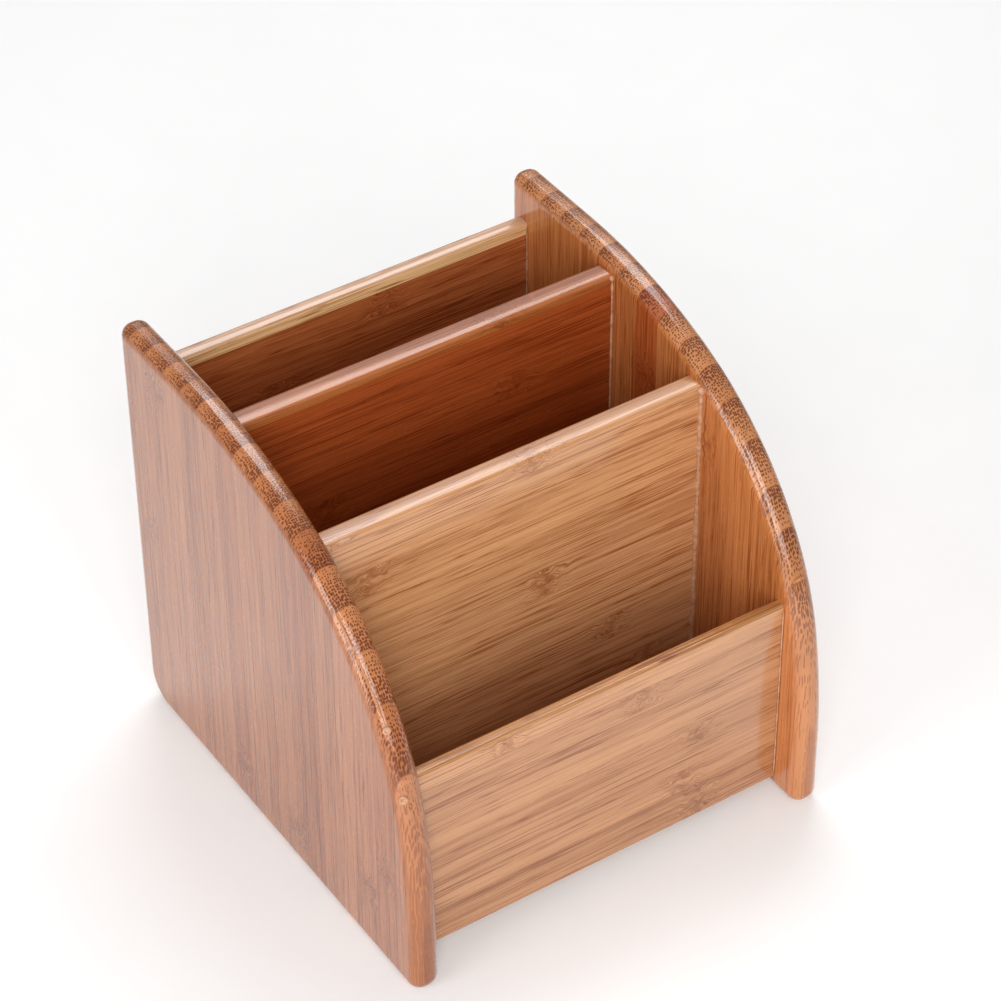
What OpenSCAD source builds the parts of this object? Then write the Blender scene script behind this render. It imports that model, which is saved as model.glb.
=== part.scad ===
// Bamboo pen holder with three compartments behind one another.
// Two rounded side panels carry four cross boards and a floor in stopped housings.
// Millimetres, +Z up, front face towards -Y, origin under the middle of the footprint.

/* [Outer size] */
// Width over both side panels
outer_w = 157.5; // [130:0.5:200]
// Depth of the side panels, front to back
side_d = 168; // [166:1:190]
// Height of the side panels
side_h = 157.2; // [157:0.2:170]

/* [Side panels] */
// Thickness of a side panel
side_t = 10; // [9:0.5:14]
// Flat strip left between the two rounded arrises of an edge
edge_flat = 1.2; // [0.6:0.1:3]
// Radius of the long arc above the straight front edge
front_arc_r = 232.5; // [215:0.5:235]
// Lean of the edge from upright where the front arc ends, in degrees
front_arc_end = 10.6; // [9:0.1:12]
// Radius of the shoulder arc
shoulder_arc_r = 104.2; // [102:0.2:112]
// Lean of the edge from upright where the shoulder arc ends, in degrees
shoulder_arc_end = 68.8; // [66:0.1:70]
// Radius of the arc that runs into the level top
top_arc_r = 176.5; // [165:0.5:180]
// Radius of the corner at the top of the back edge
top_corner_r = 4; // [3:0.5:10]
// Radius of the corner at the foot of the front edge
front_foot_r = 4.5; // [3:0.5:10]
// Radius of the corner at the foot of the back edge
back_foot_r = 12.5; // [6:0.5:16]

/* [Cross boards] */
// Distance from the front edge of the sides to the front panel
front_set = 12; // [10:0.5:14]
// Thickness of the front panel
front_t = 4.3; // [3.5:0.1:5]
// Thickness of the two dividers
divider_t = 7.3; // [6:0.1:7.6]
// Thickness of the back panel
back_t = 5.2; // [4.5:0.1:6]
// Thickness of the floor
floor_t = 3.5; // [3:0.1:5]
// Clear depth of the front compartment
front_bay_d = 42.9; // [41:0.1:43.5]
// Clear depth of the middle and rear compartments
bay_d = 41.7; // [40:0.1:42]
// Height of the lower edges of the front and back panels
board_foot_h = 5.5; // [4:0.5:7]
// Height of the underside of the floor
floor_h = 7; // [7:0.5:10]
// Height of the top of the front panel
front_top_h = 80.7; // [70:0.1:86]
// Height of the top of the front divider
front_divider_top_h = 138.1; // [120:0.1:140]
// Height of the top of the rear divider
rear_divider_top_h = 151.5; // [140:0.1:154]
// Height of the top of the back panel
back_top_h = 142.7; // [130:0.1:150]
// Rounding of the long arrises of the front panel's top edge
front_arris_r = 0.6; // [0.4:0.1:1.2]
// Rounding of the long arrises of the top edges behind the front panel
arris_r = 1.3; // [1:0.1:1.6]
// Radius of the gentle crown that runs from their front arris into the level top
crown_r = 6; // [4:0.5:7]
// Slope of the top edge where the front arris runs into the crown, in degrees
crown_slope = 20; // [12:1:25]

/* [Housings] */
// Depth of the housings in the side panels
housing_depth = 3; // [2:0.5:3]

/* [Hidden] */

bamboo = [0.78, 0.58, 0.42];
bamboo_face = [0.80, 0.61, 0.44];
bamboo_dark = [0.58, 0.30, 0.16];

// Steps across one quarter-round arris, across a crown, and along each arc of the outline
arris_steps = 6;
crown_steps = 4;
corner_steps = 6;
front_arc_steps = 6;
shoulder_arc_steps = 20;
top_arc_steps = 10;

edge_r = (side_t - edge_flat) / 2;
inner_half_w = outer_w / 2 - side_t;

// Front faces of the cross boards, measured back from the front edge of the sides
front_divider_y = front_set + front_t + front_bay_d;
rear_divider_y = front_divider_y + divider_t + bay_d;
back_panel_y = rear_divider_y + divider_t + bay_d;
floor_top_h = floor_h + floor_t;

// Centres of the three tangent arcs: each lies on the radius where the arc before it ends,
// and the last arc meets the level top, which sets the height where the front edge starts to lean
function lean_dir(lean) = [-cos(lean), sin(lean)];
shoulder_shift = (front_arc_r - shoulder_arc_r) * lean_dir(front_arc_end);
top_shift = (shoulder_arc_r - top_arc_r) * lean_dir(shoulder_arc_end);
front_straight_h = side_h - top_arc_r - shoulder_shift[1] - top_shift[1];
front_arc_c = [front_arc_r, front_straight_h];
shoulder_arc_c = front_arc_c + shoulder_shift;
top_arc_c = shoulder_arc_c + top_shift;

// Least corner radius left on an inset outline
sharp_r = 0.2;

// Points of an arc about c, from angle a0 to a1, in equal steps; first = 1 leaves out the start
function arc_points(c, r, a0, a1, steps, first = 0) = [
    for (i = [first:steps]) let (a = a0 + (a1 - a0) * i / steps)
        c + r * [cos(a), sin(a)]
];

// Square corner at p, rounded by r and moved inwards by inset; way points into the panel
function corner_points(p, way, r, inset, a0) =
    let (inset_r = max(r - inset, sharp_r))
        arc_points(p + (inset + inset_r) * way, inset_r, a0, a0 - 90, corner_steps);

// Outline of a side panel as [depth, height], moved inwards by inset
function side_outline(inset) = concat(
    corner_points([0, 0], [1, 1], front_foot_r, inset, 270),
    arc_points(front_arc_c, front_arc_r - inset, 180, 180 - front_arc_end, front_arc_steps),
    arc_points(shoulder_arc_c, shoulder_arc_r - inset, 180 - front_arc_end,
        180 - shoulder_arc_end, shoulder_arc_steps, first = 1),
    arc_points(top_arc_c, top_arc_r - inset, 180 - shoulder_arc_end, 90, top_arc_steps,
        first = 1),
    corner_points([side_d, side_h], [-1, -1], top_corner_r, inset, 90),
    corner_points([side_d, 0], [-1, 1], back_foot_r, inset, 0)
);

// Sections across the panel's thickness as [x, inset]: one quarter round, the flat, the other
edge_sections = concat(
    [for (i = [0:arris_steps]) let (a = 90 * i / arris_steps)
        [edge_r - edge_r * cos(a), edge_r - edge_r * sin(a)]],
    [for (i = [0:arris_steps]) let (a = 90 - 90 * i / arris_steps)
        [side_t - edge_r + edge_r * cos(a), edge_r - edge_r * sin(a)]]
);

// A side panel before its housings are cut, from x = 0 to side_t, front edge at y = 0
module side_blank() {
    rings = [for (s = edge_sections) [for (p = side_outline(s[1])) [s[0], p[0], p[1]]]];
    n = len(rings[0]);
    m = len(rings);
    skin = [
        for (k = [0:m - 2]) for (i = [0:n - 1]) let (j = (i + 1) % n)
            [k * n + i, k * n + j, (k + 1) * n + j, (k + 1) * n + i]
    ];
    caps = [[for (i = [n - 1:-1:0]) i], [for (i = [0:n - 1]) (m - 1) * n + i]];
    polyhedron(points = [for (r = rings) each r], faces = concat(skin, caps));
}

// Stretches a section drawn as [depth, height] along the width, from -half_l to half_l
module along_width(half_l) {
    translate([-half_l, -side_d / 2, 0])
        rotate([90, 0, 90])
            linear_extrude(height = 2 * half_l)
                children();
}

// Upright board section with its front face at depth y: an arris, a crown, the level top, an arris
module board_section(y, t, foot_h, top_h, arris, crown) {
    crown_start = [-sin(crown_slope), cos(crown_slope)];
    arris_c = [y + arris, top_h - crown + (crown - arris) * crown_start[1]];
    crown_c = arris_c - (crown - arris) * crown_start;
    polygon(concat(
        [[y, foot_h]],
        arc_points(arris_c, arris, 180, 90 + crown_slope, arris_steps),
        arc_points(crown_c, crown, 90 + crown_slope, 90, crown_steps, first = 1),
        arc_points([y + t - arris, top_h - arris], arris, 90, 0, arris_steps),
        [[y + t, foot_h]]
    ));
}

// The front panel's top is level right up to its arrises, so its crown has the arris's own radius
module front_panel_section() {
    board_section(front_set, front_t, board_foot_h, front_top_h, front_arris_r, front_arris_r);
}

module front_divider_section() {
    board_section(front_divider_y, divider_t, floor_top_h, front_divider_top_h, arris_r, crown_r);
}

module rear_divider_section() {
    board_section(rear_divider_y, divider_t, floor_top_h, rear_divider_top_h, arris_r, crown_r);
}

module back_panel_section() {
    board_section(back_panel_y, back_t, board_foot_h, back_top_h, arris_r, crown_r);
}

module floor_section() {
    translate([front_set + front_t, floor_h])
        square([back_panel_y - front_set - front_t, floor_t]);
}

// All the boards that reach into the housings
module housed_boards() {
    along_width(inner_half_w + housing_depth) {
        front_panel_section();
        front_divider_section();
        rear_divider_section();
        back_panel_section();
        floor_section();
    }
}

// Side panel with its inner face towards +X
module left_side_panel() {
    color(bamboo)
        difference() {
            translate([-outer_w / 2, -side_d / 2, 0])
                side_blank();
            housed_boards();
        }
}

module right_side_panel() {
    color(bamboo)
        difference() {
            translate([outer_w / 2 - side_t, -side_d / 2, 0])
                side_blank();
            housed_boards();
        }
}

module front_panel() {
    color(bamboo_face)
        along_width(inner_half_w + housing_depth)
            front_panel_section();
}

module front_divider() {
    color(bamboo_face)
        along_width(inner_half_w + housing_depth)
            front_divider_section();
}

module rear_divider() {
    color(bamboo_dark)
        along_width(inner_half_w + housing_depth)
            rear_divider_section();
}

module back_panel() {
    color(bamboo_dark)
        along_width(inner_half_w + housing_depth)
            back_panel_section();
}

module floor_panel() {
    color(bamboo_dark)
        along_width(inner_half_w + housing_depth)
            floor_section();
}

left_side_panel();
right_side_panel();
front_panel();
front_divider();
rear_divider();
back_panel();
floor_panel();
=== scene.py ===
"""Bamboo pen holder with three stepped compartments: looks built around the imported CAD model.

Every board is rebuilt as a finished, lacquered board: rounded edges with a hand-sanded wobble, cut
into its bamboo strips. Each strip carries its own tone, the way its fibres get denser across it, and
the place of its culm node, and the bamboo material reads them. Lacquer beads and drips are meshes.
Shapes are worked out in millimetres in the CAD frame, and finish_board and lacquer_piece turn them
into metres.
"""

import math
import random

import bmesh
import bpy
from mathutils import Euler, Matrix, Vector, noise


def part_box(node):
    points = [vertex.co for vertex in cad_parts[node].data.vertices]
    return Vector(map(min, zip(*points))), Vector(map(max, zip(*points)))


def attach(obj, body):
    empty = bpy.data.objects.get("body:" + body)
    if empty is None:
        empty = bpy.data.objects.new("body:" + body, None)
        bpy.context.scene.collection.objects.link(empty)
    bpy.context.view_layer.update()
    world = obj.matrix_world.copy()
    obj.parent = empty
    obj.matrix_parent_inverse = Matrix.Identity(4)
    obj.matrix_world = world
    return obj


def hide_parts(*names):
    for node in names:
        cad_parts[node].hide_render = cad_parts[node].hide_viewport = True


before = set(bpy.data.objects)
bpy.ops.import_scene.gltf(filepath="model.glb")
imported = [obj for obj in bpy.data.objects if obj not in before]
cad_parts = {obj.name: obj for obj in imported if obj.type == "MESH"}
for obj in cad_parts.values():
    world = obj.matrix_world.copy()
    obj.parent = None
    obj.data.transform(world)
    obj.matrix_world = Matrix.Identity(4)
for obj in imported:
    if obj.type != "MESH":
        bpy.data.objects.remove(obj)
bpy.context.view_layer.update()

MM = 0.001


# ---------------------------------------------------------------- sizes, from the frame

def node_box(node):
    """(lowest, highest) corner of a CAD node, in millimetres."""
    low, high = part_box(node)
    return low / MM, high / MM


LEFT_LOW, LEFT_HIGH = node_box("left_side_panel")
RIGHT_LOW = node_box("right_side_panel")[0]
SIDE_T = LEFT_HIGH.x - LEFT_LOW.x
SIDE_D = LEFT_HIGH.y - LEFT_LOW.y
SIDE_H = LEFT_HIGH.z
FRONT_Y = LEFT_LOW.y
INNER_X = RIGHT_LOW.x

# Side panel outline: three tangent arcs, as in the CAD model
EDGE_FLAT = 1.2
EDGE_R = (SIDE_T - EDGE_FLAT) / 2
FRONT_ARC_R = 232.5
FRONT_ARC_END = 10.6
SHOULDER_ARC_R = 104.2
SHOULDER_ARC_END = 68.8
TOP_ARC_R = 176.5
TOP_CORNER_R = 4.0
FRONT_FOOT_R = 4.5
BACK_FOOT_R = 12.5
SHARP_R = 0.2

# Cross boards: arrises and crowns as in the CAD model, but with a wider arris on the front panel,
# and with the crown eased into the level top from EASING_SLOPE degrees on
FRONT_ARRIS = 1.1
BOARD_ARRIS = 1.3
CROWN_R = 6.0
CROWN_SLOPE = 20
EASING_SLOPE = 5
DIVIDER_EASING_R = 28.0
BACK_EASING_R = 14.0
FOOT_ARRIS = 0.4

# The top of a cross board as (arris, crown, easing) radii
FRONT_TOP = (FRONT_ARRIS, FRONT_ARRIS, FRONT_ARRIS)
DIVIDER_TOP = (BOARD_ARRIS, CROWN_R, DIVIDER_EASING_R)
BACK_TOP = (BOARD_ARRIS, CROWN_R, BACK_EASING_R)

# Mesh fineness: lengths of a step along the outline and the boards, and counts of steps
OUTLINE_STEP = 2.0
BOARD_STEP = 2.5
EDGE_STEPS = 8
CORNER_STEPS = 8
PANEL_FRONT_STEPS = 8
PANEL_TOP_STEPS = 16
PANEL_BACK_STEPS = 60
PANEL_FOOT_STEPS = 70
FRONT_ARRIS_STEPS = 7
CROWN_STEPS = 5
EASING_STEPS = 3
BACK_ARRIS_STEPS = 8
FOOT_ARRIS_STEPS = 3
BOARD_FACE_STEPS = 6
BOARD_TOP_STEPS = 2

# How far hand sanding leaves a rounded edge off its true line, and the waves per mm of its bumps.
# The feet are left flat up to FLAT_FOOT_H.
SANDING = 0.07
SLOW_WAVES = 0.045
QUICK_WAVES = 0.16
FLAT_FOOT_H = 1.0


# ---------------------------------------------------------------- strips of each board

# A shade is what a strip's red, green and blue are, as shares of its board's own colour
SHADES = {
    "pale": (1.10, 1.13, 1.15),
    "light": (1.05, 1.06, 1.07),
    "plain": (1.00, 1.00, 1.00),
    "deep": (0.94, 0.91, 0.88),
    "red": (0.92, 0.84, 0.77),
    "ruddy": (0.84, 0.73, 0.64),
    "gold": (1.04, 1.05, 1.08),
    "burnt": (0.78, 0.54, 0.46),
    "honey": (1.22, 1.85, 2.25),
    # the back panel's pale top strip: partly its own paler wood, partly painted light that makes up for the
    # rear divider's shade on it
    "straw_and_painted_light": (1.84, 3.80, 6.00),
    # painted shade on the back panel's top face only, darker than the strip's front, set to match how the
    # top is lit
    "painted_back_top_shade": (1.08, 2.05, 4.15),
    # painted shade: a tint for the front panel's top face only, set to match how that face is lit, not a
    # wood of its own
    "painted_front_top_shade": (1.03, 1.02, 0.82),
}

# Colours of the boards, as 8-bit sRGB
LEFT_COLOUR = (161, 99, 61)
RIGHT_COLOUR = (191, 118, 66)
FRONT_COLOUR = (187, 132, 90)
DIVIDER_COLOUR = (204, 147, 100)
REAR_DIVIDER_COLOUR = (158, 74, 32)
BACK_COLOUR = (194, 113, 63)
FLOOR_COLOUR = (188, 132, 86)

# Cut ends of the side panels' strips, which show along their rounded edges
LEFT_CUT_COLOUR = (168, 106, 63)
RIGHT_CUT_COLOUR = (176, 116, 72)

# A strip is (width in mm, shade, place of its culm node along the fibres in mm, or None).
# Side panels run from the front edge back, cross boards from the top down, the floor front to back.
LEFT_STRIPS = [
    (9.5, "gold", 84), (11.0, "red", 42), (10.5, "light", 27), (10.5, "pale", None),
    (11.0, "plain", None), (11.5, "ruddy", None), (10.5, "deep", 16), (11.0, "deep", None),
    (11.5, "plain", None), (10.5, "red", 18), (11.5, "plain", None), (10.0, "deep", None),
    (10.7, "light", None), (11.3, "plain", 145), (10.0, "plain", 81), (7.0, "deep", 120),
]
RIGHT_STRIPS = [
    (11.4, "gold", 90), (7.9, "deep", None), (8.4, "plain", None), (11.3, "light", None),
    (11.7, "plain", None), (11.1, "deep", 117), (10.5, "plain", None), (11.2, "light", None),
    (11.2, "burnt", 122), (11.0, "plain", None), (11.1, "red", None), (11.0, "plain", 60),
    (11.0, "deep", None), (11.0, "plain", 100), (10.7, "light", None), (7.5, "plain", None),
]
# The first 0.8 mm strip colours only the front panel's top face: painted shade, not a strip of its own wood.
FRONT_STRIPS = [
    (0.8, "painted_front_top_shade", None), (6.9, "pale", -37), (9.0, "plain", 15), (9.0, "plain", None),
    (8.5, "light", None), (8.5, "deep", 36), (9.5, "plain", None), (9.0, "light", 31),
    (9.0, "deep", 38), (5.0, "plain", 36),
]
# From the fourth strip down most strips are lighter: painted light that stands in for light reaching deep
# into the compartment.
FRONT_DIVIDER_STRIPS = [
    (5.6, "plain", 5), (10.5, "plain", None), (11.0, "plain", -55), (10.0, "light", None),
    (10.5, "plain", None), (11.5, "light", 10), (10.5, "pale", None), (10.5, "pale", None),
    (10.0, "light", 36), (10.5, "pale", None), (10.5, "light", 50), (10.0, "pale", None),
    (7.0, "plain", None),
]
REAR_DIVIDER_STRIPS = [
    (3.8, "honey", 27), (9.5, "light", None), (9.8, "plain", None), (10.0, "light", 30),
    (10.0, "deep", None), (10.0, "plain", -40), (10.5, "deep", None), (10.5, "plain", None),
    (10.0, "red", 12), (10.5, "plain", None), (10.5, "plain", None), (10.0, "deep", -15),
    (10.0, "plain", None), (10.0, "plain", None), (5.9, "deep", None),
]
# The first 0.9 mm strip colours only the back panel's top face: painted shade. The next strip is partly
# paler wood, partly painted light.
BACK_STRIPS = [
    (0.9, "painted_back_top_shade", None), (3.8, "straw_and_painted_light", None), (10.0, "light", 13), (10.0, "deep", None),
    (10.0, "plain", -30), (10.5, "red", None), (10.0, "plain", 44), (10.0, "plain", None),
    (10.0, "deep", None), (10.5, "plain", -8), (10.0, "red", None), (10.0, "plain", None),
    (10.0, "light", 25), (10.0, "plain", None), (6.5, "light", None), (5.0, "plain", None),
]
FLOOR_STRIP_W = 10.5
FLOOR_STRIPS = [
    (FLOOR_STRIP_W, shade, culm) for shade, culm in [
        ("plain", None), ("light", 20), ("deep", None), ("plain", -35), ("light", None), ("plain", None),
        ("red", 48), ("plain", None), ("light", None), ("plain", -12), ("deep", None), ("plain", 30),
        ("light", None), ("plain", None),
    ]
]

# Distance in mm to the culm node that a strip without one gets
NO_CULM = 400.0


def srgb_to_linear(colour):
    """8-bit sRGB to the linear colour Blender works in."""
    return tuple(
        c / 12.92 if c <= 0.04045 else ((c + 0.055) / 1.055) ** 2.4
        for c in (v / 255 for v in colour)
    )


def shaded(colour, shade):
    """A linear board colour in one of the SHADES, with its alpha."""
    return tuple(c * share for c, share in zip(colour, SHADES[shade])) + (1.0,)


# ---------------------------------------------------------------- mesh helpers

def arc(centre, radius, start, end, steps, first=0):
    """Points of an arc with their outward directions, as (a, b, na, nb)."""
    points = []
    for i in range(first, steps + 1):
        angle = math.radians(start + (end - start) * i / steps)
        c, s = math.cos(angle), math.sin(angle)
        points.append((centre[0] + radius * c, centre[1] + radius * s, c, s))
    return points


def outline_arc(centre, radius, start, end, inset, first=0):
    """Arc of a side panel's outline, moved inwards by inset, in steps of about OUTLINE_STEP."""
    steps = max(2, math.ceil(radius * math.radians(abs(end - start)) / OUTLINE_STEP))
    return arc(centre, radius - inset, start, end, steps, first)


def corner(p, way, radius, inset, start):
    """Rounded square corner of an outline that has been moved inwards by inset."""
    r = max(radius - inset, SHARP_R)
    centre = (p[0] + (inset + r) * way[0], p[1] + (inset + r) * way[1])
    return arc(centre, r, start, start - 90, CORNER_STEPS)


def straight(p, q, step_count):
    """Points strictly between the ends p and q of a straight stretch."""
    return [
        tuple(a + (b - a) * i / step_count for a, b in zip(p, q))
        for i in range(1, step_count)
    ]


def side_outline(inset):
    """Ring round a side panel as (depth, height, outward direction), moved inwards by inset."""
    def shift(radius_a, radius_b, lean):
        """Way from one arc's centre to the next one's, where they meet at this lean."""
        lean = math.radians(lean)
        return ((radius_a - radius_b) * -math.cos(lean), (radius_a - radius_b) * math.sin(lean))

    to_shoulder = shift(FRONT_ARC_R, SHOULDER_ARC_R, FRONT_ARC_END)
    to_top = shift(SHOULDER_ARC_R, TOP_ARC_R, SHOULDER_ARC_END)
    straight_h = SIDE_H - TOP_ARC_R - to_shoulder[1] - to_top[1]
    front_c = (FRONT_ARC_R, straight_h)
    shoulder_c = (front_c[0] + to_shoulder[0], front_c[1] + to_shoulder[1])
    top_c = (shoulder_c[0] + to_top[0], shoulder_c[1] + to_top[1])
    lean_a, lean_b = 180 - FRONT_ARC_END, 180 - SHOULDER_ARC_END
    # Each stretch with the steps of the straight line that follows it
    stretches = [
        (corner((0, 0), (1, 1), FRONT_FOOT_R, inset, 270), PANEL_FRONT_STEPS),
        (outline_arc(front_c, FRONT_ARC_R, 180, lean_a, inset), 0),
        (outline_arc(shoulder_c, SHOULDER_ARC_R, lean_a, lean_b, inset, first=1), 0),
        (outline_arc(top_c, TOP_ARC_R, lean_b, 90, inset, first=1), PANEL_TOP_STEPS),
        (corner((SIDE_D, SIDE_H), (-1, -1), TOP_CORNER_R, inset, 90), PANEL_BACK_STEPS),
        (corner((SIDE_D, 0), (-1, 1), BACK_FOOT_R, inset, 0), PANEL_FOOT_STEPS),
    ]
    ring = []
    for (points, gap_steps), (after, _) in zip(stretches, stretches[1:] + stretches[:1]):
        ring += points
        if gap_steps:
            ring += straight(points[-1], after[0], gap_steps)
    return ring


def edge_sections():
    """Sections across a side panel as (x, inset, share of normal along x, share outwards)."""
    half = []
    for i in range(EDGE_STEPS + 1):
        angle = math.radians(90 * i / EDGE_STEPS)
        c, s = math.cos(angle), math.sin(angle)
        half.append((EDGE_R * (1 - c), EDGE_R * (1 - s), -c, s))
    return half + [(SIDE_T - x, inset, -nx, out) for x, inset, nx, out in reversed(half)]


def sanding(point, share):
    """Small, slow unevenness of a hand-sanded rounded edge, in millimetres."""
    slow = noise.noise(Vector(point) * SLOW_WAVES)
    quick = noise.noise(Vector(point) * QUICK_WAVES + Vector((7, 3, 1)))
    return SANDING * share * (1.3 * slow + 0.45 * quick)


def skin(bm, rows):
    """Faces between equal closed rows of vertices."""
    count = len(rows[0])
    for low, high in zip(rows, rows[1:]):
        for i in range(count):
            j = (i + 1) % count
            bm.faces.new((low[i], low[j], high[j], high[i]))


def swept(rings, normals):
    """Closed skin over equal rings of points, with flat caps. Keeps the true normals on the vertices."""
    bm = bmesh.new()
    normal_layer = bm.verts.layers.float_vector.new("true_normal")
    grid = []
    for ring, ring_normals in zip(rings, normals):
        row = []
        for p, n in zip(ring, ring_normals):
            v = bm.verts.new(p)
            v[normal_layer] = n
            row.append(v)
        grid.append(row)
    skin(bm, grid)
    bm.faces.new(list(reversed(grid[0])))
    bm.faces.new(grid[-1])
    bm.normal_update()
    return bm


def split_at(bm, axis, places):
    """Cuts the mesh across axis at each place, where one strip ends and the next begins."""
    direction = Vector([1.0 if i == axis else 0.0 for i in range(3)])
    for place in places:
        bmesh.ops.bisect_plane(
            bm, geom=bm.verts[:] + bm.edges[:] + bm.faces[:], dist=1e-4,
            plane_co=direction * place, plane_no=direction,
        )


def finish_board(name, bm, strips, colours, axis, start, sign, fibre_axis, dense_at_start, shift):
    """Splits a board into its strips, writes what the material reads, and makes the object.

    The strips follow axis from start in the direction sign. fibre_axis is the way the bamboo grew.
    colours are the colour along the fibres and the colour of the cut ends.
    """
    edges = [start]
    for width, _, _ in strips:
        edges.append(edges[-1] + sign * width)
    split_at(bm, axis, edges[1:-1])
    bmesh.ops.recalc_face_normals(bm, faces=bm.faces)
    me = bpy.data.meshes.new(name)
    bm.to_mesh(me)
    stored = [Vector(d.vector) for d in me.attributes["true_normal"].data]
    bm.free()

    for label in ("tone", "cut_tone"):
        me.attributes.new(label, "FLOAT_COLOR", "CORNER")
    for label in ("grade", "culm", "strip"):
        me.attributes.new(label, "FLOAT", "CORNER")
    tone, cut_tone, grade, culm, strip_id = (
        me.attributes[label] for label in ("tone", "cut_tone", "grade", "culm", "strip")
    )
    face_colour, cut_colour = (srgb_to_linear(c) for c in colours)
    for face in me.polygons:
        middle = face.center[axis]
        k = sum(1 for e in edges[1:-1] if (middle - e) * sign > 0)
        width, shade, node_at = strips[k]
        for corner_index in face.loop_indices:
            p = me.vertices[me.loops[corner_index].vertex_index].co
            across = (p[axis] - edges[k]) * sign / width
            across = min(max(across, 0.0), 1.0)
            tone.data[corner_index].color = shaded(face_colour, shade)
            cut_tone.data[corner_index].color = shaded(cut_colour, shade)
            grade.data[corner_index].value = 1 - across if dense_at_start else across
            along = p[fibre_axis]
            culm.data[corner_index].value = NO_CULM if node_at is None else along - node_at
            strip_id.data[corner_index].value = k + shift

    me.normals_split_custom_set_from_vertices([n.normalized() for n in stored])
    me.attributes.remove(me.attributes["true_normal"])
    me.transform(Matrix.Scale(MM, 4))
    board = bpy.data.objects.new(name, me)
    bpy.context.scene.collection.objects.link(board)
    return board


# ---------------------------------------------------------------- boards

def side_panel(name, low_x, strips, colours, dense_at_start, shift):
    """Side board whose lowest x is low_x. shift numbers its first strip."""
    rings, normals = [], []
    for x, inset, across, out in edge_sections():
        ring, ring_normals = [], []
        for depth, height, n_depth, n_height in side_outline(inset):
            p = Vector((low_x + x, FRONT_Y + depth, height))
            length = math.hypot(n_depth, n_height)
            n = Vector((across, out * n_depth / length, out * n_height / length))
            on_top = 0.0 if height < FLAT_FOOT_H else 1.0
            p -= n * abs(sanding(p, out * on_top))
            ring.append(p)
            ring_normals.append(n)
        rings.append(ring)
        normals.append(ring_normals)
    bm = swept(rings, normals)
    return finish_board(name, bm, strips, colours, 1, FRONT_Y, 1, 2, dense_at_start, shift)


def board_profile(t, height, arris, crown, easing):
    """Section of a cross board as (y from the front face, z from the foot, normal).

    The top is the CAD's arris and crown, eased into the level part with a larger radius.
    """
    def tangent(centre, radius, next_radius, slope):
        """Centre of the next arc, which takes over where the first has this slope."""
        slope = math.radians(slope)
        grow = next_radius - radius
        return (centre[0] + grow * math.sin(slope), centre[1] - grow * math.cos(slope))

    arris_c = (arris, 0.0)
    crown_c = tangent(arris_c, arris, crown, CROWN_SLOPE)
    easing_c = tangent(crown_c, crown, easing, EASING_SLOPE)
    lift = height - easing - easing_c[1]
    arris_c, crown_c, easing_c = ((y, z + lift) for y, z in (arris_c, crown_c, easing_c))
    top = arc(arris_c, arris, 180, 90 + CROWN_SLOPE, FRONT_ARRIS_STEPS)
    top += arc(crown_c, crown, 90 + CROWN_SLOPE, 90 + EASING_SLOPE, CROWN_STEPS, first=1)
    top += arc(easing_c, easing, 90 + EASING_SLOPE, 90, EASING_STEPS, first=1)
    back = arc((t - arris, height - arris), arris, 90, 0, BACK_ARRIS_STEPS)
    foot_front = arc((FOOT_ARRIS, FOOT_ARRIS), FOOT_ARRIS, 270, 180, FOOT_ARRIS_STEPS)
    foot_back = arc((t - FOOT_ARRIS, FOOT_ARRIS), FOOT_ARRIS, 0, -90, FOOT_ARRIS_STEPS)
    rise = straight(foot_front[-1], top[0], BOARD_FACE_STEPS)
    level = straight(top[-1], back[0], BOARD_TOP_STEPS)
    fall = straight(back[-1], foot_back[0], BOARD_FACE_STEPS)
    return foot_front + rise + top + level + back + fall + foot_back


def swept_board(low, high, profile, sanded):
    """Board between the corners low and high with the same profile all along x."""
    count = math.ceil((high.x - low.x) / BOARD_STEP)
    rings, normals = [], []
    for i in range(count + 1):
        x = low.x + (high.x - low.x) * i / count
        ring, ring_normals = [], []
        for y, z, ny, nz in profile:
            p = Vector((x, low.y + y, low.z + z))
            n = Vector((0, ny, nz)).normalized()
            if sanded:
                p -= n * abs(sanding(p, max(nz, 0)))
            ring.append(p)
            ring_normals.append(n)
        rings.append(ring)
        normals.append(ring_normals)
    return swept(rings, normals)


def cross_board(name, node, strips, colour, top_radii, shift):
    """Upright board across the holder, in the place of a CAD node."""
    low, high = node_box(node)
    profile = board_profile(high.y - low.y, high.z - low.z, *top_radii)
    bm = swept_board(low, high, profile, sanded=True)
    return finish_board(name, bm, strips, (colour, colour), 2, high.z, -1, 0, True, shift)


def floor_board(name, node, strips, colour, shift):
    """Lying board with four small arrises, in the place of a CAD node."""
    low, high = node_box(node)
    front = foot = FOOT_ARRIS
    back = high.y - low.y - FOOT_ARRIS
    top = high.z - low.z - FOOT_ARRIS
    profile = []
    for centre, start in (((back, top), 90), ((back, foot), 0), ((front, foot), 270), ((front, top), 180)):
        profile += arc(centre, FOOT_ARRIS, start, start - 90, FOOT_ARRIS_STEPS)
    bm = swept_board(low, high, profile, sanded=False)
    return finish_board(name, bm, strips, (colour, colour), 1, low.y, 1, 0, True, shift)


# ---------------------------------------------------------------- materials

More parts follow.
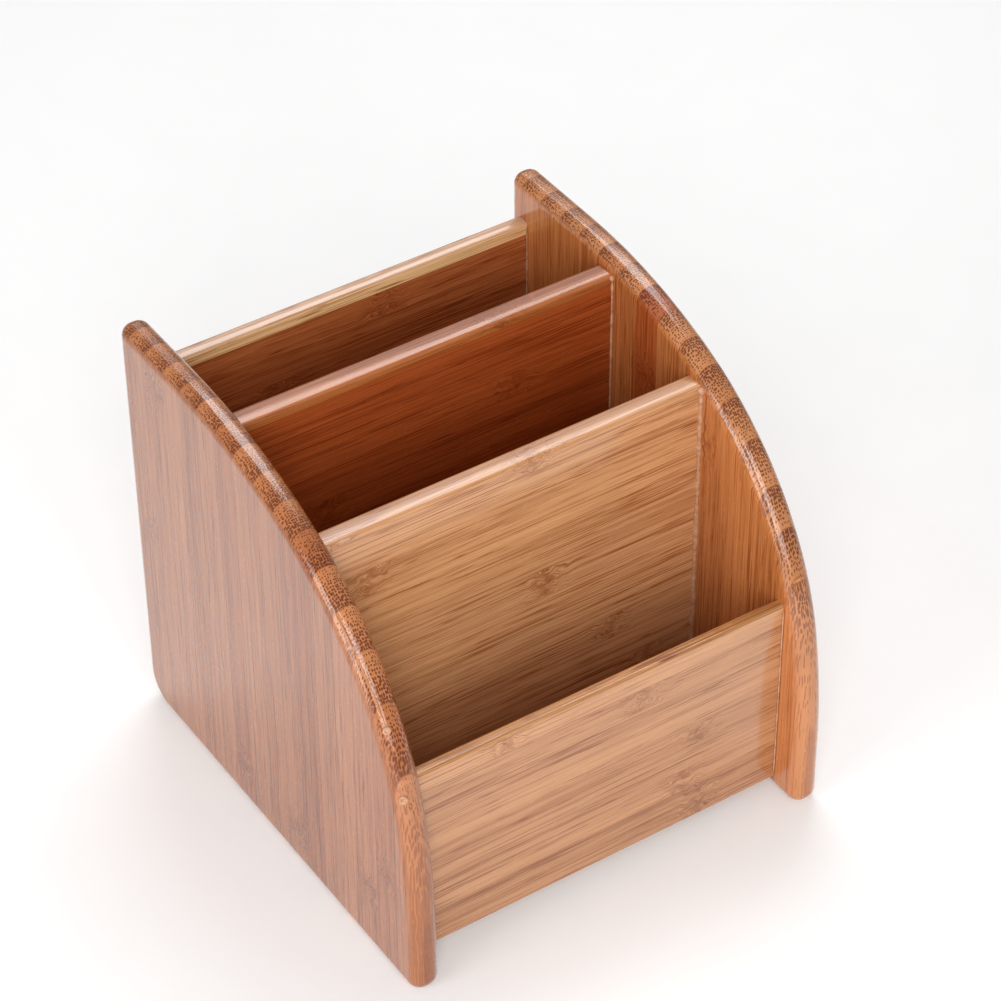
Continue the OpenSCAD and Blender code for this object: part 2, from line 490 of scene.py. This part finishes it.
class Shader:
    """A node material, written as nested calls."""

    def __init__(self, name):
        self.material = bpy.data.materials.new(name)
        self.material.use_nodes = True
        self.tree = self.material.node_tree
        self.tree.nodes.clear()

    def feed(self, socket, value):
        if isinstance(value, bpy.types.NodeSocket):
            self.tree.links.new(value, socket)
        else:
            socket.default_value = value

    def node(self, kind, inputs, **settings):
        node = self.tree.nodes.new("ShaderNode" + kind)
        for key, value in settings.items():
            setattr(node, key, value)
        for key, value in inputs.items():
            self.feed(node.inputs[key], value)
        return node

    def math(self, operation, *values):
        return self.node("Math", dict(enumerate(values)), operation=operation).outputs[0]

    def vector(self, operation, *values):
        return self.node("VectorMath", dict(enumerate(values)), operation=operation).outputs[0]

    def combine(self, x, y, z):
        return self.node("CombineXYZ", {0: x, 1: y, 2: z}).outputs[0]

    def separate(self, vector):
        return self.node("SeparateXYZ", {0: vector}).outputs

    def noise(self, vector, scale=1.0, detail=2.0, roughness=0.5, output="Fac"):
        inputs = {"Vector": vector, "Scale": scale, "Detail": detail, "Roughness": roughness}
        return self.node("TexNoise", inputs).outputs[output]

    def remap(self, value, low, high, to_low=0.0, to_high=1.0, smooth=True):
        inputs = {"Value": value, "From Min": low, "From Max": high, "To Min": to_low, "To Max": to_high}
        kind = "SMOOTHSTEP" if smooth else "LINEAR"
        return self.node("MapRange", inputs, interpolation_type=kind).outputs[0]

    def mix(self, share, a, b, blend="MIX"):
        node = self.node("Mix", {0: share, 6: a, 7: b}, data_type="RGBA", blend_type=blend)
        return node.outputs[2]

    def attribute(self, name, output="Fac"):
        return self.node("Attribute", {}, attribute_name=name).outputs[output]

    def output(self, shader):
        self.node("OutputMaterial", {"Surface": shader})
        return self.material


def grey(value):
    return (value, value, value, 1.0)


# Bamboo, in mm: how far a culm node reaches, its core, its scar on a cut end, and its swirl
CULM_REACH = 8.5
CULM_CORE = 3.0
CULM_SCAR = 0.55
SWIRL = 8.0

# How far each strip's own number shifts its pattern, along the fibres and through the board
STRIP_SHIFT_ALONG = 173.3
STRIP_SHIFT_THROUGH = 37.7

# Bundles of fibres: how many for each mm, how irregular their places are, and how far they wander
BUNDLES_PER_MM = 1.24
BUNDLE_SCATTER = 0.50
BUNDLE_WANDER = 1.6

# A usual strip's width, which turns the way across a strip into mm at its seams
USUAL_STRIP_W = 10.5

# What the parts of the pattern are, as shares of the strip's own red, green and blue
DARK_LINES = (0.52, 0.34, 0.22)
LIGHT_LINES = (1.20, 1.26, 1.30)
OPEN_GROUND = (1.24, 1.24, 1.26)
DENSE_GROUND = (1.10, 0.96, 0.86)
BUNDLE_ENDS = (0.34, 0.19, 0.12)
SCAR = (1.5, 1.75, 2.2)

# Lacquer over the bamboo
GLOSS = 0.22
BARE_SPECULAR = 0.08
COAT_ROUGHNESS = 0.16
COAT_IOR = 1.6


def bamboo(name, fibre_axis, across_axis, through_axis, edge_cut):
    """Lacquered bamboo strips whose fibres run along fibre_axis.

    The bundles of fibres are dots in the plane across the fibres, drawn out along them, so that a cut
    end shows dots, a slanting cut shows dashes and a face shows fine lines, as in the solid. edge_cut
    is how much a rounded edge that runs along the fibres looks like a cut end.
    """
    s = Shader(name)
    place = s.vector("SCALE", s.node("TexCoord", {}).outputs["Object"])
    s.feed(place.node.inputs["Scale"], 1 / MM)
    xyz = s.separate(place)
    along, across, through = xyz[fibre_axis], xyz[across_axis], xyz[through_axis]
    strip = s.attribute("strip")
    grade = s.attribute("grade")
    culm = s.attribute("culm")
    tone = s.attribute("tone", "Color")
    cut_tone = s.attribute("cut_tone", "Color")

    def bell(value, width):
        scaled = s.math("DIVIDE", value, width)
        return s.math("EXPONENT", s.math("MULTIPLY", s.math("MULTIPLY", scaled, scaled), -1.0))

    def times(*values):
        product = values[0]
        for value in values[1:]:
            product = s.math("MULTIPLY", product, value)
        return product

    def tinted(shares, base=tone):
        return s.mix(1.0, base, shares + (1.0,), "MULTIPLY")

    # Every strip is another piece of cane: its pattern is shifted by its own number
    along = s.math("ADD", along, s.math("MULTIPLY", strip, STRIP_SHIFT_ALONG))
    through_own = s.math("ADD", through, s.math("MULTIPLY", strip, STRIP_SHIFT_THROUGH))

    # Near a culm node the fibres swirl
    near_culm = bell(culm, CULM_REACH)
    at_culm = bell(culm, CULM_CORE)
    swirl_place = s.combine(times(along, 0.20), times(across, 0.3), through_own)
    swirl = s.math("SUBTRACT", s.noise(swirl_place, 1.0, 1.0), 0.5)
    across = s.math("ADD", across, times(swirl, near_culm, SWIRL))

    # Bundles of fibres: cells across the fibres that wander a little along them
    wander_place = s.combine(times(across, 0.25), times(through_own, 0.25), times(along, 0.11))
    wander = s.separate(s.noise(wander_place, 1.0, 2.0, 0.6, "Color"))
    cell_place = s.combine(
        s.math("ADD", across, times(s.math("SUBTRACT", wander[0], 0.5), BUNDLE_WANDER)),
        s.math("ADD", through_own, times(s.math("SUBTRACT", wander[1], 0.5), BUNDLE_WANDER)),
        0.0,
    )
    cells = s.node(
        "TexVoronoi",
        {"Vector": cell_place, "Scale": BUNDLES_PER_MM, "Randomness": BUNDLE_SCATTER},
        voronoi_dimensions="2D", feature="F1",
    )
    cell_kind = s.separate(cells.outputs["Color"])[0]

    # Towards the dense side the bundles are larger, and fewer of them are left out
    size = s.remap(grade, 0.0, 1.0, 0.28, 0.60, smooth=False)
    dot = s.remap(s.math("DIVIDE", cells.outputs["Distance"], size), 0.60, 1.05, 1.0, 0.0)
    kept = s.math("SUBTRACT", s.math("ADD", times(grade, 0.50), 0.68), cell_kind)
    dot = times(dot, s.remap(kept, -0.05, 0.05))

    # How much of the surface is cut across the fibres, and how much is a broad face
    normal = s.separate(s.node("NewGeometry", {}).outputs["Normal"])
    cut_end = s.math("ABSOLUTE", normal[fibre_axis])
    face = s.remap(s.math("ABSOLUTE", normal[through_axis]), 0.8, 1.0)
    not_face = s.math("SUBTRACT", 1.0, face)
    cut_look = times(not_face, s.remap(cut_end, 0.0, 0.5, edge_cut, 1.0))
    show = times(not_face, s.remap(cut_end, 0.0, 0.5, edge_cut * 0.75, 0.95), dot)
    long_grain = s.remap(cut_look, 0.1, 0.8, 1.0, 0.15)

    def drawn(width, length, detail=2.0, offset=0.0):
        """Noise drawn out along the fibres. Its waves are width and length mm."""
        p = s.combine(
            s.math("DIVIDE", across, width),
            s.math("DIVIDE", s.math("ADD", through_own, offset), width * 2.0),
            s.math("DIVIDE", along, length),
        )
        return s.noise(p, 1.0, detail, 0.6)

    def threads(width, length, spread, offset=0.0):
        """Thin lines where such noise crosses its middle value."""
        off_middle = s.math("ABSOLUTE", s.math("SUBTRACT", drawn(width, length, 1.0, offset), 0.5))
        return s.remap(off_middle, spread * 0.3, spread, 1.0, 0.0)

    # Colour of a face: broad bands, then long and short threads, then the finest lines
    broad = drawn(3.2, 190.0)
    middle = drawn(0.85, 75.0, 3.0)
    fine = drawn(0.34, 24.0)
    dark_tone = tinted(DARK_LINES)
    light_tone = tinted(LIGHT_LINES)
    colour = s.mix(s.remap(broad, 0.34, 0.62, 0.68, 0.0), tone, light_tone)
    colour = s.mix(s.remap(broad, 0.54, 0.74, 0.0, 0.38), colour, dark_tone)
    colour = s.mix(times(s.remap(middle, 0.55, 0.66, 0.0, 0.34), long_grain), colour, dark_tone)
    clusters = s.remap(drawn(4.5, 95.0, 2.0, 60.0), 0.40, 0.62, 0.15, 1.0)
    long_threads = times(threads(1.7, 120.0, 0.034), clusters, long_grain, 0.95)
    colour = s.mix(long_threads, colour, dark_tone)
    short_threads = times(threads(0.80, 46.0, 0.050, 25.0), s.remap(broad, 0.38, 0.60, 0.1, 1.0))
    colour = s.mix(times(short_threads, long_grain, 0.88), colour, dark_tone)
    colour = s.mix(times(threads(1.2, 80.0, 0.040, 90.0), long_grain, 0.68), colour, light_tone)
    colour = s.mix(times(s.remap(fine, 0.54, 0.68, 0.0, 0.42), long_grain), colour, dark_tone)

    # Culm node: a darker, knotted patch with short curved dashes and a dark core
    knot_place = s.combine(
        s.math("DIVIDE", across, 0.6), s.math("DIVIDE", through_own, 2.0), s.math("DIVIDE", along, 5.0)
    )
    knot = s.remap(s.noise(knot_place, 1.0, 2.0, 0.6), 0.48, 0.60)
    colour = s.mix(times(knot, near_culm, 0.55), colour, dark_tone)
    core = s.remap(s.noise(swirl_place, 1.3, 1.0), 0.42, 0.60)
    colour = s.mix(times(at_culm, core, 0.50), colour, dark_tone)

    # End grain: orange ground, dark bundles, denser and browner towards one side of each strip
    open_ground = tinted(OPEN_GROUND, cut_tone)
    dense_ground = tinted(DENSE_GROUND, cut_tone)
    ground = s.mix(s.remap(grade, 0.1, 1.0, 0.0, 0.40), open_ground, dense_ground)
    colour = s.mix(cut_look, colour, ground)
    colour = s.mix(show, colour, tinted(BUNDLE_ENDS, cut_tone))
    scar = times(bell(culm, CULM_SCAR), cut_look, s.remap(middle, 0.35, 0.60, 0.2, 0.9))
    colour = s.mix(scar, colour, tinted(SCAR))

    # Seam between strips: a hairline of glue
    to_seam = times(s.math("MINIMUM", grade, s.math("SUBTRACT", 1.0, grade)), USUAL_STRIP_W)
    seam = s.remap(to_seam, 0.05, 0.28, 0.42, 0.0)
    colour = s.mix(seam, colour, dark_tone)

    # Lacquer over the grain: it sinks a little into the bundles and follows the lines
    height = s.math("SUBTRACT", times(middle, 0.5), times(show, 0.8))
    height = s.math("SUBTRACT", height, times(seam, 0.5))
    height = s.math("ADD", height, times(knot, at_culm, 0.6))
    bump = s.node("Bump", {"Strength": 0.28, "Distance": 0.00010, "Height": height})
    film = s.math("SUBTRACT", times(drawn(1.5, 26.0, 2.0, 140.0), 1.4), times(show, 0.5))
    film = s.node("Bump", {"Strength": 0.40, "Distance": 0.00003, "Height": film})
    rough = s.remap(s.noise(place, 0.35, 3.0), 0.3, 0.7, GLOSS - 0.05, GLOSS + 0.07, smooth=False)
    rough = s.math("ADD", rough, times(show, 0.15))
    surface = s.node(
        "BsdfPrincipled",
        {
            "Base Color": colour, "Roughness": rough, "Normal": bump.outputs[0],
            "Specular IOR Level": BARE_SPECULAR, "Coat Weight": 1.0, "Coat Roughness": COAT_ROUGHNESS,
            "Coat IOR": COAT_IOR, "Coat Normal": film.outputs[0],
        },
    )
    return s.output(surface.outputs[0])


def lacquer(name, colour, pale, roughness):
    """Clouded lacquer or glue, between two colours."""
    s = Shader(name)
    place = s.node("TexCoord", {}).outputs["Object"]
    cloud = s.noise(place, 500.0, 2.0, 0.6)
    low, high = (srgb_to_linear(c) + (1.0,) for c in (colour, pale))
    tint = s.mix(s.remap(cloud, 0.35, 0.7), low, high)
    bump = s.node("Bump", {"Strength": 0.15, "Distance": 0.0001, "Height": cloud})
    surface = s.node(
        "BsdfPrincipled",
        {"Base Color": tint, "Roughness": roughness, "Normal": bump.outputs[0], "IOR": 1.48},
    )
    return s.output(surface.outputs[0])


# ---------------------------------------------------------------- beads and drips

# Beads: the share of the radius left at the ends, and the waves per mm of their lumps
BEAD_SIDES = 10
BEAD_STEP = 0.8
BEAD_TIP = 0.08
BEAD_TAPER_STEPS = 6
BEAD_SLOW_WAVES = 0.22
BEAD_QUICK_WAVES = 0.9

# Drops: how uneven their outline is, as a share of the radius, and how quickly it changes
DROP_SIDES = 28
DROP_UNEVEN = 0.16
DROP_WAVES = 1.3

# How far a seed can shift the noise of a bead or drop
NOISE_RANGE = 50


def lacquer_piece(name, bm):
    """Smooth object in metres from a mesh in millimetres."""
    bmesh.ops.recalc_face_normals(bm, faces=bm.faces)
    me = bpy.data.meshes.new(name)
    bm.to_mesh(me)
    bm.free()
    me.shade_smooth()
    me.transform(Matrix.Scale(MM, 4))
    piece = bpy.data.objects.new(name, me)
    bpy.context.scene.collection.objects.link(piece)
    return piece


def circle_ways(side, up, count):
    """Directions all round, from side towards up."""
    angles = (2 * math.pi * k / count for k in range(count))
    return [math.cos(angle) * side + math.sin(angle) * up for angle in angles]


def bead(name, points, radius, seed, lumps):
    """Uneven bead of lacquer along points, as a closed tube that tapers off at both ends."""
    phase = random.Random(seed).uniform(0, NOISE_RANGE)
    bm = bmesh.new()
    rows = []
    last = len(points) - 1
    taper_steps = max(1, min(BEAD_TAPER_STEPS, len(points) // 3))
    for i, p in enumerate(points):
        ahead = points[min(i + 1, last)] - points[max(i - 1, 0)]
        side = ahead.orthogonal().normalized()
        up = ahead.cross(side).normalized()
        end = min(i, last - i) / taper_steps
        taper = math.sin(min(end, 1.0) * math.pi / 2) * (1 - BEAD_TIP) + BEAD_TIP
        lump = 1 + lumps * noise.noise(p * BEAD_SLOW_WAVES + Vector((phase, 0, 0)))
        lump += 0.5 * lumps * noise.noise(p * BEAD_QUICK_WAVES + Vector((0, phase, 0)))
        r = radius * taper * lump
        rows.append([bm.verts.new(p + r * way) for way in circle_ways(side, up, BEAD_SIDES)])
    skin(bm, rows)
    bm.faces.new(list(reversed(rows[0])))
    bm.faces.new(rows[-1])
    return lacquer_piece(name, bm)


def line_points(start, end, step=BEAD_STEP):
    """Points about a step apart along a line, at least nine."""
    start, end = Vector(start), Vector(end)
    count = max(8, math.ceil((end - start).length / step))
    return [start.lerp(end, i / count) for i in range(count + 1)]


def edge_place(low_x, height, turn):
    """Point and normal on a side panel's rounded front edge. Turn 0 faces left and 180 faces right."""
    outline = side_outline(0)
    for p, q in zip(outline, outline[1:]):
        if p[1] <= height < q[1]:
            break
    share = (height - p[1]) / (q[1] - p[1])
    depth, _, n_depth, n_height = (a + (b - a) * share for a, b in zip(p, q))
    c, out = math.cos(math.radians(turn)), math.sin(math.radians(turn))
    x = EDGE_R * (1 - c) if turn < 90 else SIDE_T - EDGE_R * (1 + c)
    inset = EDGE_R * (1 - out)
    point = Vector((low_x + x, FRONT_Y + depth - n_depth * inset, height - n_height * inset))
    return point, Vector((-c, out * n_depth, out * n_height)).normalized()


def drop(name, centre, normal, radius, profile, seed):
    """Dried drop of lacquer: a profile of (radius share, height share) turned about the normal."""
    phase = random.Random(seed).uniform(0, NOISE_RANGE)
    side = normal.orthogonal().normalized()
    up = normal.cross(side)
    bm = bmesh.new()
    rows = []
    for out, height in profile[:-1]:
        row = []
        for way in circle_ways(side, up, DROP_SIDES):
            uneven = 1 + DROP_UNEVEN * noise.noise(way * DROP_WAVES + Vector((phase, 0, 0)))
            row.append(bm.verts.new(centre + radius * (out * uneven * way + height * uneven * normal)))
        rows.append(row)
    tip = bm.verts.new(centre + radius * profile[-1][1] * normal)
    skin(bm, rows)
    for k in range(DROP_SIDES):
        bm.faces.new((rows[-1][k], rows[-1][(k + 1) % DROP_SIDES], tip))
    bm.faces.new(list(reversed(rows[0])))
    return lacquer_piece(name, bm)


# ---------------------------------------------------------------- assembly

upright = bamboo("bamboo_upright", fibre_axis=2, across_axis=1, through_axis=0, edge_cut=0.55)
lying = bamboo("bamboo_across", fibre_axis=0, across_axis=2, through_axis=1, edge_cut=0.0)
flat = bamboo("bamboo_floor", fibre_axis=0, across_axis=1, through_axis=2, edge_cut=0.0)
milky = lacquer("milky_lacquer", (184, 128, 92), (206, 160, 128), 0.25)
amber = lacquer("amber_lacquer", (170, 108, 66), (186, 126, 84), 0.16)


def add(piece, material, node=None):
    """Gives a piece its material, puts it on the body, and lets it replace a CAD node."""
    piece.data.materials.append(material)
    if node:
        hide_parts(node)
    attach(piece, "root")
    return piece


# The numbers of the boards' first strips lie far enough apart that no two strips share one
for side, low_x, strips, colours, dense_at_start, shift in (
    ("left", LEFT_LOW.x, LEFT_STRIPS, (LEFT_COLOUR, LEFT_CUT_COLOUR), True, 3),
    ("right", RIGHT_LOW.x, RIGHT_STRIPS, (RIGHT_COLOUR, RIGHT_CUT_COLOUR), False, 41),
):
    board = side_panel(side + "_side_board", low_x, strips, colours, dense_at_start, shift)
    add(board, upright, side + "_side_panel")
for node, strips, colour, top_radii, slot, shift in (
    ("front_panel", FRONT_STRIPS, FRONT_COLOUR, FRONT_TOP, "light_bamboo", 71),
    ("front_divider", FRONT_DIVIDER_STRIPS, DIVIDER_COLOUR, DIVIDER_TOP, "light_bamboo", 101),
    ("rear_divider", REAR_DIVIDER_STRIPS, REAR_DIVIDER_COLOUR, DIVIDER_TOP, "dark_bamboo", 131),
    ("back_panel", BACK_STRIPS, BACK_COLOUR, BACK_TOP, "dark_bamboo", 161),
):
    add(cross_board(node + "_board", node, strips, colour, top_radii, shift), lying, node)
board = floor_board("floor_board", "floor_panel", FLOOR_STRIPS, FLOOR_COLOUR, 191)
add(board, flat, "floor_panel")


# Beads in the corners where a board meets a side panel: (name, board, radius at the right).
# Those at the left are thinner. Each bead runs from just above the foot or floor to just below the top.
CORNER_BEADS = [
    ("front", "front_panel", 0.26), ("front_divider", "front_divider", 0.80),
    ("rear_divider", "rear_divider", 0.40), ("back", "back_panel", 0.34),
]
LEFT_BEAD_SHARE = 0.7
BEAD_SUNK = 0.28
BEAD_END = 1.2
BEAD_LUMPS = 0.5
FIRST_BEAD_SEED = 11
FLOOR_TOP = node_box("floor_panel")[1].z

for row, (name, node, radius) in enumerate(CORNER_BEADS):
    low, high = node_box(node)
    foot = low.z if node == "front_panel" else FLOOR_TOP
    for column, (side, sign, share) in enumerate((("left", -1, LEFT_BEAD_SHARE), ("right", 1, 1))):
        x = sign * (INNER_X - BEAD_SUNK)
        y = low.y - BEAD_SUNK
        points = line_points((x, y, foot + BEAD_END), (x, y, high.z - BEAD_END))
        seed = FIRST_BEAD_SEED + 2 * row + column
        piece = bead(f"bead_{name}_{side}", points, radius * share, seed, BEAD_LUMPS)
        add(piece, milky)

# Glue squeezed out under the front divider's top, near its left end. The start and the end are
# measured from the corner that top_corner gives.
SQUEEZE_START = (0.3, 0.05, -1.3)
SQUEEZE_END = (11.5, 0.12, -1.0)
SQUEEZE_STEP = 0.5
SQUEEZE_R = 0.36
SQUEEZE_LUMPS = 1.1


def top_corner(node, sign):
    """Corner of a board's front and top at the left (sign -1) or right (sign 1) side panel."""
    low, high = node_box(node)
    return Vector((sign * INNER_X, low.y, high.z))


left_corner = top_corner("front_divider", -1)
squeeze = line_points(
    left_corner + Vector(SQUEEZE_START), left_corner + Vector(SQUEEZE_END), SQUEEZE_STEP
)
add(bead("squeezed_glue", squeeze, SQUEEZE_R, 31, SQUEEZE_LUMPS), milky)

# Dried drops as (share of the radius outwards, share of it upwards)
CRATER = (
    (1.0, -0.3), (1.0, 0.0), (0.93, 0.22), (0.78, 0.34), (0.60, 0.30), (0.42, 0.17), (0.2, 0.11), (0, 0.1),
)
DOME = ((1.0, -0.3), (1.0, 0.0), (0.9, 0.25), (0.7, 0.45), (0.4, 0.58), (0.15, 0.62), (0, 0.63))

# Blobs at the dividers' top corners: (node, side, sign, way from the corner, normal, radius, seed)
BLOBS = (
    ("front_divider", "right", 1, (-0.5, -0.6, -1.6), (-0.5, -0.7, 0.5), 1.25, 41),
    ("front_divider", "left", -1, (0.2, -0.5, -1.2), (0.4, -0.7, 0.6), 1.15, 43),
    ("rear_divider", "right", 1, (-0.4, -0.3, -1.4), (-0.5, -0.6, 0.6), 0.85, 47),
)
for node, side, sign, offset, way, radius, seed in BLOBS:
    centre = top_corner(node, sign) + Vector(offset)
    piece = drop(f"blob_{node}_{side}", centre, Vector(way).normalized(), radius, DOME, seed)
    add(piece, milky)

# A run of lacquer on the left edge, between two heights and two turns round the edge
RUN_HEIGHTS = (101.0, 131.0)
RUN_TURNS = (70, 50)
RUN_STEPS = 48
RUN_SUNK = 0.26
RUN_R = 0.40
RUN_LUMPS = 0.25

run = []
for i in range(RUN_STEPS + 1):
    height, turn = (a + (b - a) * (i / RUN_STEPS) for a, b in (RUN_HEIGHTS, RUN_TURNS))
    point, normal = edge_place(LEFT_LOW.x, height, turn)
    run.append(point - normal * RUN_SUNK)
add(bead("lacquer_run", run, RUN_R, 53, RUN_LUMPS), amber)

# The drop that the run ends in, and a lower one: (name, height, turn, radius, seed)
for name, height, turn, radius, seed in (("run_drop", 100.2, 69, 1.35, 59), ("low_drop", 79.0, 62, 1.5, 61)):
    piece = drop(name, *edge_place(LEFT_LOW.x, height, turn), radius, CRATER, seed)
    add(piece, milky)


# ---------------------------------------------------------------- camera, light and floor

# Camera fitted to the photo: the point it aims at, how far away it is, its angles and its lens
TARGET = Vector((6.7, 80.0 + FRONT_Y, 105.7)) * MM
DISTANCE = 1.1165
YAW, PITCH, ROLL = -33.33, 40.12, -0.385
LENS = 127.16
SENSOR = 36.0

camera_data = bpy.data.cameras.new("camera")
camera_data.sensor_width = SENSOR
camera_data.lens = LENS
camera = bpy.data.objects.new("camera", camera_data)
turn = Euler((math.radians(90 - PITCH), 0, math.radians(YAW))).to_matrix()
turn = turn @ Matrix.Rotation(math.radians(ROLL), 3, "Z")
camera.matrix_world = Matrix.Translation(TARGET + turn @ Vector((0, 0, DISTANCE))) @ turn.to_4x4()
bpy.context.scene.collection.objects.link(camera)
bpy.context.scene.camera = camera

LIGHT_AIM = Vector((0, 0, 0.09))
LIGHT_DISTANCE = 1.0
WORLD_STRENGTH = 0.34
FLOOR_SIZE = 8.0
FLOOR_GLOW = 0.13

# The floor lies just under the feet, so that the two faces are not in one plane
FLOOR_DROP = 0.1 * MM


def softbox(name, azimuth, elevation, width, height, radiance, roll=0.0):
    """Softbox aimed at the holder. Azimuth 0 is in front and 90 to the right; sizes are in degrees."""
    light = bpy.data.lights.new(name, "AREA")
    light.shape = "RECTANGLE"
    light.size = 2 * LIGHT_DISTANCE * math.tan(math.radians(width / 2))
    light.size_y = 2 * LIGHT_DISTANCE * math.tan(math.radians(height / 2))
    light.energy = math.pi * light.size * light.size_y * radiance
    a, e = math.radians(azimuth), math.radians(elevation)
    way = Vector((math.sin(a) * math.cos(e), -math.cos(a) * math.cos(e), math.sin(e)))
    turn = way.to_track_quat("Z", "Y").to_matrix() @ Matrix.Rotation(math.radians(roll), 3, "Z")
    lamp = bpy.data.objects.new(name, light)
    lamp.matrix_world = Matrix.Translation(LIGHT_AIM + way * LIGHT_DISTANCE) @ turn.to_4x4()
    bpy.context.scene.collection.objects.link(lamp)


softbox("left_softbox", azimuth=-79, elevation=16, width=28, height=36, radiance=3.8, roll=-20)
softbox("front_softbox", azimuth=-33, elevation=27, width=18, height=42, radiance=5.5)
softbox("front_strip_light", azimuth=-12, elevation=27, width=8, height=42, radiance=5.5)
softbox("back_softbox", azimuth=144, elevation=60, width=31, height=25, radiance=4.9)
softbox("back_glow", azimuth=146, elevation=40, width=60, height=16, radiance=1.0)

world = bpy.data.worlds.new("studio")
world.use_nodes = True
background = world.node_tree.nodes["Background"]
background.inputs["Color"].default_value = grey(1.0)
background.inputs["Strength"].default_value = WORLD_STRENGTH
bpy.context.scene.world = world


def paper_floor():
    """Plain pale floor that glows a little, as an overlit paper sweep does."""
    s = Shader("pale_floor")
    place = s.node("TexCoord", {}).outputs["Object"]
    shade = s.mix(s.noise(place, 40.0, 2.0), grey(0.90), grey(0.93))
    surface = s.node(
        "BsdfPrincipled",
        {
            "Base Color": shade, "Roughness": 0.8,
            "Emission Color": grey(1.0), "Emission Strength": FLOOR_GLOW,
        },
    )
    bpy.ops.mesh.primitive_plane_add(size=FLOOR_SIZE)
    plane = bpy.context.object
    plane.name = "floor"
    plane.location.z = -FLOOR_DROP
    plane.data.materials.append(s.output(surface.outputs[0]))


paper_floor()
bpy.context.scene.view_settings.view_transform = "Standard"
